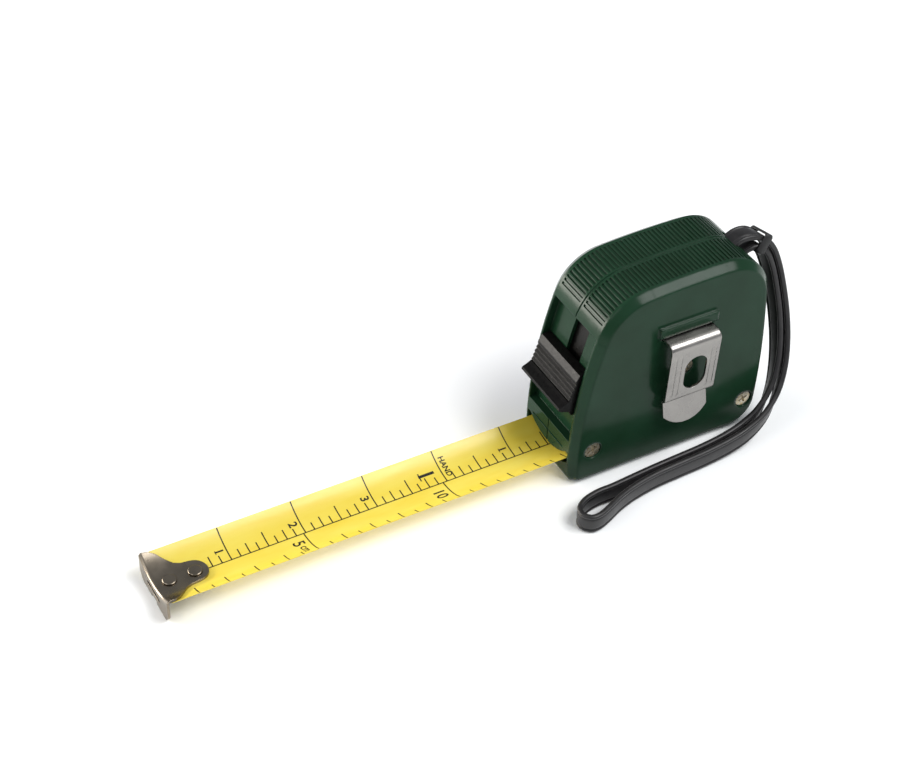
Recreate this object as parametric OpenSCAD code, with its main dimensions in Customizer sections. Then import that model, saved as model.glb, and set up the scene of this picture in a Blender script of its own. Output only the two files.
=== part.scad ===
// Pocket tape measure: two-part case, wound steel blade with hook, thumb lock, belt clip, wrist strap.
// Millimetres. +X is the way the blade pulls out, +Z is up, +Y is the belt-clip side.

/* [Case] */
// overall case length, back to front
case_len = 74; // [60:0.5:90]
// overall case height
case_high = 72; // [60:0.5:90]
// overall case thickness, without the clip
case_thick = 32.4; // [31.6:0.2:40]
// thickness of the rim wall
wall = 2; // [1.6:0.1:2.4]
// inset of the side panels over the bevel
bevel_in = 2.2; // [1:0.1:2.8]
// width of the bevel across the thickness
bevel_wide = 2.8; // [1.5:0.1:4]
// radius of the front top corner
r_front_top = 19.3; // [14:0.1:24]
// radius of the rear top corner
r_rear_top = 17.5; // [12:0.1:22]
// radius of the rear bottom corner
r_rear_low = 11; // [8:0.5:14]
// radius of the front bottom corner
r_front_low = 3; // [2.5:0.1:5]

/* [Grip ribs] */
// number of cross grooves over the top
rib_count = 40; // [12:1:48]
// depth of each groove
rib_deep = 0.5; // [0.2:0.05:0.8]
// width of each groove
rib_wide = 0.7; // [0.4:0.05:0.9]

/* [Blade] */
// blade width, laid flat
blade_flat = 25; // [22:0.5:25]
// steel thickness with its coating
blade_t = 0.16; // [0.12:0.01:0.3]
// length pulled out at rest, mouth to hook
blade_out = 139; // [60:1:200]
// depth of the curve across the blade
blade_sag = 3.8; // [2:0.1:4.2]
// height of the blade's middle over the table
blade_z = 5.6; // [5:0.1:6.4]
// part of the blade end that moves with the hook
blade_end_len = 30; // [26:1:40]

/* [Hook] */
// sheet thickness of the hook
hook_t = 0.8; // [0.6:0.1:1]
// hook width
hook_wide = 24; // [20:0.5:25]
// free movement of the hook along the blade
hook_play = 1; // [0.6:0.1:1.2]
// rivet shank radius
rivet_r = 1.2; // [0.9:0.1:1.5]

/* [Reel] */
// outer radius of the wound blade
coil_r = 26.4; // [24:0.1:26.6]
// outer radius of the drum
drum_r = 20.2; // [17:0.1:21]
// radius of the centre post
arbor_r = 4; // [3:0.1:5]
// radial running clearance of the drum on the post
run_gap = 0.06; // [0.02:0.01:0.1]
// turns of the return spring drawn
spring_turns = 7; // [4:1:9]

/* [Lock] */
// width of the lock recess in the front face
recess_wide = 25.2; // [22:0.2:26]
// depth of the lock recess
recess_deep = 2.8; // [2:0.1:3]
// travel of the lock along the front face
lock_travel = 12.4; // [8:0.1:12.6]
// width of the thumb button
button_wide = 23.8; // [20:0.2:24.4]
// how far the thumb lip stands out
lip_out = 5.6; // [3:0.1:7]

/* [Belt clip] */
// clip width
clip_wide = 18.8; // [14:0.2:20]
// sheet thickness of the clip
clip_t = 0.8; // [0.6:0.1:1]
// stand-off of the clip from the panel
clip_off = 5.8; // [5.2:0.1:8]

/* [Strap] */
// strap width
strap_wide = 7; // [5:0.5:8]
// strap thickness
strap_t = 1.9; // [1.4:0.1:2.1]
// distance between the two strands
strand_gap = 2.9; // [2.6:0.1:3.4]

/* [Hidden] */
$fn = 96;
eps = 0.001;
big_fn = 360;
half_t = case_thick / 2;
x_front = case_len / 2;
x_back = -case_len / 2;
// centres and radii of the three long arcs of the outline, as [x, z]
front_r = 160; front_c = [x_front - front_r, 8];
top_r = 300; top_c = [-10, case_high - top_r];
back_r = 260; back_c = [x_back + back_r, 28];

function meet(a, ra, b, rb) = let (d = norm(b - a), k = (d*d + ra*ra - rb*rb) / (2*d),
    h = sqrt(max(ra*ra - k*k, 0)), u = (b - a) / d) a + u*k + h*[-u[1], u[0]];
function ang(v) = atan2(v[1], v[0]);
// corner centres, each tangent to its two neighbours
c_ft = meet(front_c, front_r - r_front_top, top_c, top_r - r_front_top);
c_rt = meet(top_c, top_r - r_rear_top, back_c, back_r - r_rear_top);
c_fl = [front_c[0] + sqrt(pow(front_r - r_front_low, 2) - pow(r_front_low - front_c[1], 2)), r_front_low];
c_rl = [back_c[0] - sqrt(pow(back_r - r_rear_low, 2) - pow(r_rear_low - back_c[1], 2)), r_rear_low];
// each corner: centre, radius, first and last direction of its round
corners = [
    [c_ft, r_front_top, ang(c_ft - front_c), ang(c_ft - top_c)],
    [c_rt, r_rear_top, ang(c_rt - top_c), ang(c_rt - back_c)],
    [c_rl, r_rear_low, ang(c_rl - back_c) + 360, 270],
    [c_fl, r_front_low, 270, ang(c_fl - front_c) + 360]];

// blade section: arc of this radius, half angle and chord
half_a = blade_half_angle();
function blade_half_angle() = let (k = blade_sag * 2 / blade_flat) solve_a(k, 10, 80, 30);
function solve_a(k, lo, hi, n) = let (m = (lo + hi) / 2, f = (1 - cos(m)) / (m * PI / 180))
    n == 0 ? m : (f > k ? solve_a(k, lo, m, n - 1) : solve_a(k, m, hi, n - 1));
blade_r = blade_flat / 2 / (half_a * PI / 180);
blade_top = blade_z + blade_r;
blade_chord = 2 * blade_r * sin(half_a);
x_zero = x_front + blade_out;

// clearance round the rivets and the hook's tongue, under and over the blade's middle
rivet_low = 1.55; foot_gap = 2.5;

// reel centre
reel_x = -4; reel_z = 36;
flange_r = coil_r + 1;
reel_half = 13.4;
// stub that locates the post in the label-side shell
stub_r = 2.45; stub_len = 1.45;
// inset that the bevel's slope would reach at the seam
bevel_far = bevel_in * (1 - half_t / bevel_wide);
// lock levels, heights on the front face when locked
lock_turn = lock_travel / front_r * 180 / PI;
button_low = 28; button_high = 43.6;
recess_low = 17.2; recess_high = 57.4;
floor_r = front_r - recess_deep;
back_wall_r = floor_r - 1.4;
slide_r = back_wall_r - 0.3;
slide_t = 1.4;
slot_y0 = -2.4; slot_y1 = 5.6;
screw_front = [29.3, 13]; screw_rear = [-30.2, 11.3];
// strap pin, on the rear top corner's bisector
pin_c = c_rt + 12.4 * [cos(137), sin(137)];
pin_r = 1.5;
// belt clip root
clip_x = -3.2;
clip_y = half_t;

// runs across the thickness from y0 down to y0 - h
module across(y0) translate([0, y0, 0]) rotate([90, 0, 0]) children();

// outline slab from y0 down to y0 - h; inset is d0 at y0 and d1 at the other end
module slab(y0, h, d0, d1) {
    difference() {
        intersection() {
            across(y0) translate([front_c[0], front_c[1], 0])
                cylinder(h = h, r1 = front_r - d0, r2 = front_r - d1, $fn = big_fn);
            across(y0) translate([top_c[0], top_c[1], 0])
                cylinder(h = h, r1 = top_r - d0, r2 = top_r - d1, $fn = 2 * big_fn);
            across(y0) translate([back_c[0], back_c[1], 0])
                cylinder(h = h, r1 = back_r - d0, r2 = back_r - d1, $fn = 2 * big_fn);
            translate([-case_len, 0, 0]) rotate([90, 0, 90]) linear_extrude(2 * case_len)
                polygon([[y0, d0], [y0, 2 * case_high], [y0 - h, 2 * case_high], [y0 - h, d1]]);
        }
        for (c = corners) if (c[1] - max(d0, d1) > 0.3) difference() {
            m = (c[2] + c[3]) / 2;
            translate([0, y0 + 1, 0]) rotate([90, 0, 0]) linear_extrude(h + 2)
                polygon([c[0], c[0] + 60 * [cos(c[2] - 4.5), sin(c[2] - 4.5)], c[0] + 90 * [cos(m), sin(m)],
                    c[0] + 60 * [cos(c[3] + 4.5), sin(c[3] + 4.5)]]);
            k = (d1 - d0) / h;
            translate([0, y0 + 1, 0]) rotate([90, 0, 0]) translate([c[0][0], c[0][1], 0])
                cylinder(h = h + 2, r1 = c[1] * 0.999 - d0 + k, r2 = c[1] * 0.999 - d1 - k, $fn = 180);
        }
    }
}

// part of a ring about the front arc's centre, between two heights on the face and two y values
module front_ring(r0, r1, z0, z1, y0, y1) {
    difference() {
        intersection() {
            across(y1) translate([front_c[0], front_c[1], 0]) cylinder(h = y1 - y0, r = r1, $fn = big_fn);
            translate([0, y0 - 1, z0]) cube([case_len, y1 - y0 + 2, z1 - z0]);
        }
        across(y1 + 1) translate([front_c[0], front_c[1], 0])
            cylinder(h = y1 - y0 + 2, r = r0, $fn = big_fn);
    }
}

function at_face(z, h) = [front_c[0] + sqrt(pow(front_r + h, 2) - pow(z - front_c[1], 2)), z];

// point and direction of the grip ribs along the outline, u from 0 to 1
rib_a0 = ang(c_ft - front_c) + 14;
rib_arc1 = (ang(c_ft - top_c) - rib_a0) * PI / 180 * r_front_top;
rib_mid = (ang(c_rt - top_c) - ang(c_ft - top_c)) * PI / 180 * top_r;
rib_arc2 = 32 * PI / 180 * r_rear_top;
rib_len = rib_arc1 + rib_mid + rib_arc2;
function rib_at(u) = let (s = u * rib_len)
    s < rib_arc1 ? let (a = rib_a0 + s / r_front_top * 180 / PI)
        [c_ft + r_front_top * [cos(a), sin(a)], a] :
    s < rib_arc1 + rib_mid ? let (a = ang(c_ft - top_c) + (s - rib_arc1) / top_r * 180 / PI)
        [top_c + top_r * [cos(a), sin(a)], a] :
    let (a = ang(c_rt - top_c) + (s - rib_arc1 - rib_mid) / r_rear_top * 180 / PI)
        [c_rt + r_rear_top * [cos(a), sin(a)], a];

module rib_cuts(y0, y1) for (i = [0 : rib_count - 1]) {
    p = rib_at(i / (rib_count - 1));
    translate([p[0][0], y0, p[0][1]]) rotate([0, -p[1], 0]) translate([-rib_deep, 0, -rib_wide / 2])
        cube([rib_deep + 1, y1 - y0, rib_wide]);
}

// the strap's way out at the rear top corner
module strap_slot() translate([pin_c[0], 0, pin_c[1]]) rotate([0, -137, 0])
    translate([-3.4, -strap_wide / 2 - 0.8, -4.6]) cube([16, strap_wide + 1.6, 9.2]);

module blade_arc_slot(x0, x1, up, down, half_w) intersection() {
    translate([x0, 0, blade_top]) rotate([0, 90, 0]) difference() {
        cylinder(h = x1 - x0, r = blade_r + down, $fn = 180);
        translate([0, 0, -1]) cylinder(h = x1 - x0 + 2, r = blade_r - up, $fn = 180);
    }
    translate([x0 - 1, -half_w, blade_z - 4]) cube([x1 - x0 + 2, 2 * half_w, 4 + blade_sag + 2.6]);
}

module mouth_cut() {
    blade_arc_slot(x_front - 6, x_front + 4, 2.4, 1.5, blade_chord / 2 + 0.9);
}

// inside pieces of a shell that stay when the cavity is cut; s is -1 for the label side, 1 for the clip side
module inside(s) {
    // wall behind the lock recess
    front_ring(back_wall_r, front_r, 14.6, 60, s > 0 ? 0 : -half_t, s > 0 ? half_t : 0);
    // screw bosses
    for (q = [screw_front, screw_rear]) across(s > 0 ? half_t : -8.6) translate([q[0], q[1], 0])
        cylinder(h = half_t - 8.6, r = 2.7, $fn = 48);
    // post seat
    across(s > 0 ? half_t : -reel_half - 0.3) translate([reel_x, reel_z, 0])
        cylinder(h = half_t - reel_half - 0.3, r = 7, $fn = 64);
    // seats of the strap pin, joined to the rim
    translate([pin_c[0], s > 0 ? strap_wide / 2 + 0.8 : -strap_wide / 2 - 4.4, pin_c[1]])
        rotate([0, -137, 0])
        translate([-3, 0, -4.6]) cube([8, 3.6, 9.2]);
}

module shell(s) {
    difference() {
        // straight rim, cut by the sloping bevel
        intersection() {
            slab(s > 0 ? half_t : 0, half_t, 0, 0);
            slab(s > 0 ? half_t : 0, half_t, s > 0 ? bevel_in : bevel_far, s > 0 ? bevel_far : bevel_in);
        }
        // fine groove along the seam
        difference() {
            slab(s > 0 ? 0.25 : 1, 1.25, -2, -2);
            slab(s > 0 ? 0.5 : 1.5, 2, 0.3, 0.3);
        }
        difference() {
            slab(s > 0 ? half_t - 2.2 : 0, half_t - 2.2, wall, wall);
            inside(s);
        }
        // lock recess and the lock's slot
        front_ring(floor_r, front_r + 2, recess_low, recess_high, -recess_wide / 2, recess_wide / 2);
        front_ring(back_wall_r - 1, floor_r + 1, 28.6, 54.6, slot_y0, slot_y1);
        // step below the recess
        front_ring(front_r - 0.5, front_r + 2, 12.4, 13.1, -recess_wide / 2 + 3, recess_wide / 2 - 3);
        mouth_cut();
        strap_slot();
        across(s > 0 ? half_t - 3.5 : -1.2) translate([pin_c[0], pin_c[1], 0])
            cylinder(h = s > 0 ? half_t - 4.7 : 7.5, r = pin_r + 0.05, $fn = 48);
        if (s > 0) rib_cuts(1.0, half_t - bevel_wide - 1.2); else rib_cuts(-half_t + bevel_wide + 1.2,
            -1.0);
        children();
    }
}

module shell_label() color([0.11, 0.21, 0.15]) {
    shell(-1) {
        // pilot holes of the screws
        for (q = [screw_front, screw_rear]) across(0) translate([q[0], q[1], 0])
            cylinder(h = half_t - 3.2, r = 1.3, $fn = 48);
        across(-reel_half + 1) translate([reel_x, reel_z, 0])
            cylinder(h = 1 + stub_len + 0.2, r = stub_r + 0.05, $fn = 48);
        // label seat
        label_slab(-half_t + 0.4, 1, 0);
    }
}

module shell_clip() color([0.11, 0.21, 0.15]) {
    shell(1) {
        for (q = [screw_front, screw_rear]) {
            across(half_t + 1) translate([q[0], q[1], 0]) cylinder(h = half_t, r = 1.5, $fn = 48);
            across(half_t + 1) translate([q[0], q[1], 0]) cylinder(h = 3.1, r = 3.15, $fn = 48);
        }
        across(half_t + 1) translate([reel_x, reel_z, 0]) cylinder(h = 5, r = 1.5, $fn = 48);
        across(half_t + 1) translate([reel_x, reel_z, 0]) cylinder(h = 2.5, r = 3.1, $fn = 48);
        // pocket of the clip's root
        translate([clip_x - clip_wide / 2 - 0.3, clip_y - clip_t - 0.25, 50.9])
            cube([clip_wide + 0.6, 3, 4.6]);
    }
    // raised rim that holds the clip's root
    difference() {
        translate([clip_x - clip_wide / 2 - 1.6, clip_y - 0.5, 52.6]) cube([clip_wide + 3.2, 1.7, 3.6]);
        translate([clip_x - clip_wide / 2 - 0.3, clip_y - 1, 50]) cube([clip_wide + 0.6, 1.5, 5.5]);
    }
}

// label outline: the case outline set in, with the rear low corner rounded more
module label_slab(y0, h, gap) intersection() {
    slab(y0, h, 6.4 + gap, 6.4 + gap);
    across(y0) translate([6, 44, 0]) cylinder(h = h, r = 42 - gap, $fn = 180);
}

module label() color([0.16, 0.13, 0.36]) label_slab(-half_t + 0.4, 0.35, 0.15);

module cross_screw(q, y_head, len, r_head) {
    difference() {
        union() {
            across(y_head) translate([q[0], q[1], 0]) cylinder(h = 1.4, r = r_head, $fn = 48);
            across(y_head - 1.3) translate([q[0], q[1], 0]) cylinder(h = len, r = 1.25, $fn = 48);
        }
        for (a = [20, 110]) translate([q[0], y_head, q[1]]) rotate([0, a, 0])
            cube([3.4, 1.6, 0.6], center = true);
    }
}
module screw_front_side() color([0.62, 0.58, 0.45]) cross_screw(screw_front, half_t - 0.5, half_t + 10,
    2.9);
module screw_rear_side() color([0.62, 0.58, 0.45]) cross_screw(screw_rear, half_t - 0.5, half_t + 10, 2.9);
module screw_centre() color([0.62, 0.58, 0.45]) cross_screw([reel_x, reel_z], half_t - 0.1, 12, 2.8);

// fixed centre post, slotted for the spring's inner end
module arbor() color([0.72, 0.72, 0.74]) difference() {
    union() {
        across(reel_half + 0.25) translate([reel_x, reel_z, 0])
            cylinder(h = 2 * reel_half + 0.5, r = arbor_r, $fn = 64);
        across(-reel_half - 0.25) translate([reel_x, reel_z, 0])
            cylinder(h = stub_len - 0.25, r = stub_r, $fn = 48);
    }
    across(reel_half + 1) translate([reel_x, reel_z, 0]) cylinder(h = 13, r = 1.3, $fn = 48);
    translate([reel_x, -11.5, reel_z - 0.4]) cube([arbor_r + 1, 23, 0.8]);
}

module strap_pin() color([0.55, 0.55, 0.56]) across(7.4) translate([pin_c[0], pin_c[1], 0])
    cylinder(h = 14.8, r = pin_r, $fn = 48);

// lower jaw of the lock, under the blade behind the mouth
module brake_pad() color([0.1, 0.1, 0.1]) difference() {
    translate([x_front - wall - 6.8, -9, wall]) cube([4.3, 18, 4.2]);
    translate([x_front - wall - 8, 0, blade_top]) rotate([0, 90, 0])
        cylinder(h = 8, r = blade_r + rivet_low, $fn = 180);
}

// curved guide that leads the blade from the coil to the mouth
module blade_guide() color([0.12, 0.12, 0.12]) difference() {
    translate([6, -11, wall]) rotate([90, 0, 90]) linear_extrude(10)
        polygon([[0, 0], [22, 0], [22, 3.2], [0, 3.2]]);
    translate([5, 0, blade_top]) rotate([0, 90, 0]) cylinder(h = 12, r = blade_r + 0.4, $fn = 180);
}

// soft stop that the hook meets at the mouth
module mouth_bumper() color([0.08, 0.08, 0.08]) difference() {
    intersection() {
        translate([x_front - wall - 2.3, -11.2, wall + 0.5]) cube([1.6, 22.4, 2.5]);
        translate([x_front - 6, 0, blade_top]) rotate([0, 90, 0])
            cylinder(h = 6, r = blade_r + 5.4, $fn = 180);
    }
    translate([x_front - 6, 0, blade_top]) rotate([0, 90, 0])
        cylinder(h = 6, r = blade_r + rivet_low, $fn = 180);
}

// reel
module drum() color([0.75, 0.74, 0.7]) difference() {
    union() {
        across(reel_half - 1.1) translate([reel_x, reel_z, 0])
            cylinder(h = 2 * reel_half - 1.1, r = drum_r, $fn = 128);
        across(-reel_half + 0.8) translate([reel_x, reel_z, 0]) cylinder(h = 0.8, r = flange_r, $fn = 128);
    }
    across(reel_half) translate([reel_x, reel_z, 0]) cylinder(h = 2 * reel_half - 1.2, r = drum_r - 1.8,
        $fn = 128);
    across(reel_half) translate([reel_x, reel_z, 0]) cylinder(h = 2 * reel_half + 1,
        r = arbor_r + run_gap, $fn = 64);
    // slot for the end of the blade
    translate([reel_x + drum_r - 4, -9, reel_z - 0.6]) cube([5, 18, 1.2]);
    // lightening holes in the flange
    for (a = [0 : 60 : 300]) across(0) translate([reel_x + 23.8 * cos(a + 30),
        reel_z + 23.8 * sin(a + 30), 0]) cylinder(h = 20, r = 1.6, $fn = 32);
}

module drum_cover() color([0.75, 0.74, 0.7]) difference() {
    across(reel_half) translate([reel_x, reel_z, 0]) cylinder(h = 1, r = flange_r, $fn = 128);
    across(reel_half + 1) translate([reel_x, reel_z, 0]) cylinder(h = 3, r = arbor_r + run_gap, $fn = 64);
    for (a = [0 : 60 : 300]) across(reel_half + 1) translate([reel_x + 12 * cos(a), reel_z + 12 * sin(a),
        0]) cylinder(h = 3, r = 2, $fn = 32);
}

module blade_coil() color([0.92, 0.8, 0.24]) difference() {
    across(blade_flat / 2 - 0.2) translate([reel_x, reel_z, 0])
        cylinder(h = blade_flat - 0.4, r = coil_r, $fn = 128);
    across(blade_flat / 2 + 1) translate([reel_x, reel_z, 0])
        cylinder(h = blade_flat + 2, r = drum_r + 0.02, $fn = 128);
    for (k = [1 : 3]) for (s = [-1, 1]) across(s > 0 ? blade_flat / 2 + 0.1 : -blade_flat / 2 + 0.6)
        translate([reel_x, reel_z, 0]) difference() {
        cylinder(h = 0.7, r = drum_r + k * (coil_r - drum_r) / 4 + 0.15, $fn = 128);
        translate([0, 0, -1]) cylinder(h = 3, r = drum_r + k * (coil_r - drum_r) / 4 - 0.15, $fn = 128);
    }
}

// spring steel band that joins the blade to the drum
module blade_anchor() color([0.6, 0.6, 0.62]) union() {
    translate([reel_x + drum_r - 3.4, -8.7, reel_z - 0.25]) cube([3.3, 17.4, 0.5]);
    translate([reel_x + drum_r - 3.9, -8.7, reel_z - 1.6]) cube([0.5, 17.4, 3.2]);
}

function spiral(r0, r1, n, k) = [for (i = [0 : n * k]) let (a = 360 * i / k,
    r = r0 + (r1 - r0) * i / (n * k)) [r * cos(a), r * sin(a)]];
module mainspring() color([0.35, 0.38, 0.45]) {
    n = spring_turns; k = 24;
    inner = spiral(arbor_r + 0.9, drum_r - 6.4, n, k);
    outer = spiral(arbor_r + 1.4, drum_r - 5.9, n, k);
    across(11) translate([reel_x, reel_z, 0]) linear_extrude(22)
        polygon(concat(inner, [for (i = [len(outer) - 1 : -1 : 0]) outer[i]]));
}

// blade: an arc section along X
module blade_piece(x0, x1, up = 0) intersection() {
    translate([x0, 0, blade_top]) rotate([0, 90, 0]) difference() {
        cylinder(h = x1 - x0, r = blade_r + up + blade_t / 2, $fn = 180);
        translate([0, 0, -1]) cylinder(h = x1 - x0 + 2, r = blade_r + up - blade_t / 2, $fn = 180);
    }
    translate([x0 - 1, 0, blade_top]) rotate([90, 0, 90]) linear_extrude(x1 - x0 + 2)
        polygon([[0, 0], 60 * [-sin(half_a), -cos(half_a)], [0, -70], 60 * [sin(half_a), -cos(half_a)]]);
}
module blade_strip() color([0.96, 0.86, 0.3]) blade_piece(14, x_zero - blade_end_len - 0.02);
module blade_end() color([0.96, 0.86, 0.3]) difference() {
    blade_piece(x_zero - blade_end_len, x_zero - 0.9);
    for (x = [4.6, 13.1]) translate([x_zero - x, 0, 0]) cylinder(h = 20, r = rivet_r + 0.01, $fn = 48);
}

// hook: bent sheet, tongue on top of the blade, plate in front of it
tongue_x = [0, 3.6, 5.4, 8.8, 10.6, 15.2, 16.8];
tongue_y = [12, 11.4, 8.2, 5.6, 4.7, 4.3, 2.6];
module hook() color([0.62, 0.6, 0.57]) difference() {
    union() {
        // tongue
        intersection() {
            translate([x_zero - 20, 0, blade_top]) rotate([0, 90, 0]) difference() {
                cylinder(h = 20 + hook_t, r = blade_r - blade_t / 2 - 0.02, $fn = 180);
                translate([0, 0, -1]) cylinder(h = 24, r = blade_r - blade_t / 2 - 0.02 - hook_t,
                    $fn = 180);
            }
            translate([x_zero, 0, 0]) linear_extrude(blade_z + blade_sag + 2) polygon(concat(
                [[hook_t, hook_wide / 2], [0, hook_wide / 2]],
                [for (i = [0 : 6]) [-tongue_x[i], tongue_y[i] * hook_wide / 24]], [[-17.4, 0]],
                [for (i = [6 : -1 : 0]) [-tongue_x[i], -tongue_y[i] * hook_wide / 24]],
                [[0, -hook_wide / 2], [hook_t, -hook_wide / 2]]));
        }
        // plate
        intersection() {
            translate([x_zero, -hook_wide / 2, 0.3]) cube([hook_t, hook_wide, blade_z + blade_sag + 2]);
            translate([x_zero - 1, 0, blade_top]) rotate([0, 90, 0]) difference() {
                cylinder(h = 3, r = 60);
                translate([0, 0, -1]) cylinder(h = 5, r = blade_r - blade_t / 2 - 0.02 - hook_t, $fn = 180);
            }
            translate([x_zero - 1, 0, 0]) rotate([90, 0, 90]) linear_extrude(3) polygon([
                [-hook_wide / 2, 30], [-hook_wide / 2, 4.4], [-hook_wide / 2 + 1.2, 1.5],
                    [-hook_wide / 2 + 3.4, 0],
                [hook_wide / 2 - 3.4, 0], [hook_wide / 2 - 1.2, 1.5], [hook_wide / 2, 4.4],
                    [hook_wide / 2, 30]]);
        }
    }
    // slot and foot notch in the plate
    translate([x_zero - 1, -5.2, 3.4]) cube([3, 10.4, 1.5]);
    translate([x_zero - 1, -2.2, -1]) cube([3, 4.4, 2.4]);
    // long holes that let the hook slide on its rivets
    for (x = [4.6, 13.1]) translate([x_zero - x, 0, 0]) {
        translate([-hook_play / 2 - 0.05, 0, 0]) cylinder(h = 20, r = rivet_r + 0.08, $fn = 48);
        translate([hook_play / 2 + 0.05, 0, 0]) cylinder(h = 20, r = rivet_r + 0.08, $fn = 48);
        translate([-hook_play / 2 - 0.05, -rivet_r - 0.08, 0])
            cube([hook_play + 0.1, 2 * rivet_r + 0.16, 20]);
    }
}

module rivet(x) translate([x_zero - x, 0, 0]) union() {
    translate([0, 0, blade_z - 0.9]) cylinder(h = hook_t + 1.5, r = rivet_r, $fn = 48);
    translate([0, 0, blade_z + hook_t + 0.5]) cylinder(h = 0.7, r1 = 2.3, r2 = 1.7, $fn = 48);
    translate([0, 0, blade_z - 1.2]) cylinder(h = 0.5, r = 2.2, $fn = 48);
}
module rivet_near() color([0.7, 0.68, 0.64]) rivet(4.6);
module rivet_far() color([0.7, 0.68, 0.64]) rivet(13.1);

// backing piece under the blade end
module blade_backing() color([0.6, 0.6, 0.6]) difference() {
    intersection() {
        blade_piece(x_zero - 16, x_zero - 1.2, blade_t / 2 + 0.33);
        translate([x_zero - 20, -6, 0]) cube([22, 12, 20]);
    }
    for (x = [4.6, 13.1]) translate([x_zero - x, 0, 0]) cylinder(h = 20, r = rivet_r + 0.01, $fn = 48);
}

// lock: thumb button outside, slider and brake foot inside, joined by a stem through the slot
function rib_step(i) = let (z = 40.6 - i * 0.75, h = 1.5 + i * 0.13) (i % 2 == 0) ? [z, h] : [z, h - 0.55];
lock_face = concat([[button_low, 0 - recess_deep + 0.3], [button_low, 0.4], [29.8, 1.4],
    [30.8, lip_out - 1.2], [31.6, lip_out],
    [32.4, lip_out - 0.1], [33.4, lip_out - 2.2], [34, 2.5]],
    [for (i = [9 : -1 : 0]) rib_step(i)], [[41.4, 1.5], [button_high, 0.7],
        [button_high, 0 - recess_deep + 0.3]]);
module lock_button() color([0.08, 0.08, 0.08]) difference() {
    across(button_wide / 2) linear_extrude(button_wide) polygon([for (q = lock_face) at_face(q[0], q[1])]);
    // the foot follows the recess floor
    across(button_wide / 2 + 1) translate([front_c[0], front_c[1], 0])
        cylinder(h = button_wide + 2, r = floor_r + 0.3, $fn = big_fn);
    // socket of the slider's stem
    front_ring(floor_r - 1, floor_r + 1.8, 30.2, 38.2, slot_y0 + 0.4, slot_y1 - 0.4);
}
module lock_slider() color([0.1, 0.1, 0.1]) union() {
    front_ring(slide_r - slide_t, slide_r, 18, 54, -7.6, 7.8);
    front_ring(slide_r - 0.5, floor_r + 1.8, 30.2, 38.2, slot_y0 + 0.4, slot_y1 - 0.4);
    // leg down to the blade, with a curved foot
    intersection() {
        front_ring(slide_r - slide_t, slide_r, blade_z - 1, 18.4, -6, 6);
        translate([0, 0, blade_top]) rotate([0, 90, 0]) cylinder(h = 80, r = blade_r - foot_gap, $fn = 180);
    }
}

// belt clip: one bent sheet, side profile as [y, z]
function lerp2(a, b, t) = a + (b - a) * t;
clip_path = [[-0.35, 55.1], [-0.35, 52.6], [0.0, 51.8], [0.7, 51.5], [clip_off - 1.6, 51.1],
    [clip_off - 0.7, 50.7], [clip_off - 0.15, 49.9],
    [clip_off, 48.9], [clip_off - 1.2, 29.4], [clip_off - 1.5, 28.7], [clip_off - 2.3, 28.0],
    [2.45, 26.9], [2.2, 26.1], [2.25, 25.3], [2.55, 24.4], [4.2, 16.4]];
function path_n(p, i) = let (a = p[max(i - 1, 0)], b = p[min(i + 1, len(p) - 1)],
    d = (b - a) / norm(b - a)) [-d[1], d[0]];
function ribbon(p, t) = concat([for (i = [0 : len(p) - 1]) p[i] + path_n(p, i) * t / 2],
    [for (i = [len(p) - 1 : -1 : 0]) p[i] - path_n(p, i) * t / 2]);
module clip_sheet(p, x0, w, t) translate([x0, clip_y, 0]) rotate([90, 0, 90]) linear_extrude(w)
    polygon(ribbon(p, t));
module belt_clip() color([0.75, 0.74, 0.71]) difference() {
    union() {
        clip_sheet(clip_path, clip_x - clip_wide / 2, clip_wide, clip_t);
        // pressed ridges
        for (x = [-7.9, -5.9, 5.2, 7.2]) clip_sheet([[clip_off + 0.28, 47.6], [clip_off - 0.84, 30.2]],
            clip_x + x, 0.7, 0.8);
    }
    // oblong hole over the centre screw
    translate([reel_x, clip_y + 1, reel_z + 2]) rotate([-90, 0, 0]) {
        translate([0, 2.6, 0]) cylinder(h = 12, r = 4.2, $fn = 64);
        translate([0, -2.6, 0]) cylinder(h = 12, r = 4.2, $fn = 64);
        translate([-4.2, -2.6, 0]) cube([8.4, 5.2, 12]);
    }
    // narrower, rounded tip
    for (s = [-1, 1]) translate([clip_x + s * (clip_wide / 2 + 9) - 10, clip_y - 2, 10]) cube([20, 14, 17]);
    difference() {
        translate([clip_x - 15, clip_y - 2, 10]) cube([30, 14, 12]);
        translate([clip_x, clip_y - 3, 16.1 + clip_wide / 2 * 1.15]) rotate([-90, 0, 0])
            cylinder(h = 16, r = clip_wide / 2 * 1.15, $fn = 128);
    }
}

// strap: middle line of the two strands, half distance between them, share of twist
strap_mid = [[-31.4, 0, 65.6], [-35.4, 0.4, 66.4], [-39.1, 0.9, 64.9], [-42.0, 1.9, 61.2], [-44.0, 3.4, 55.4],
    [-45.0, 6.0, 48], [-45.5, 9.2, 39], [-44.8, 12.8, 30], [-42.6, 16.6, 22], [-38.6, 20.4, 15],
    [-32.8, 23.4, 9.6], [-25.8, 25, 6.2], [-18, 26, 4.6], [-8, 26.7, 3.9], [3, 27.2, 3.8], [13, 27.8, 3.8],
    [22, 28.9, 3.8]];
// turn of the strap's width from level to upright at each of those points
strap_turn = [0, 0, 14, 28, 39, 46, 50, 54, 60, 69, 79, 87, 90, 90, 90, 90, 90];
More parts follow.
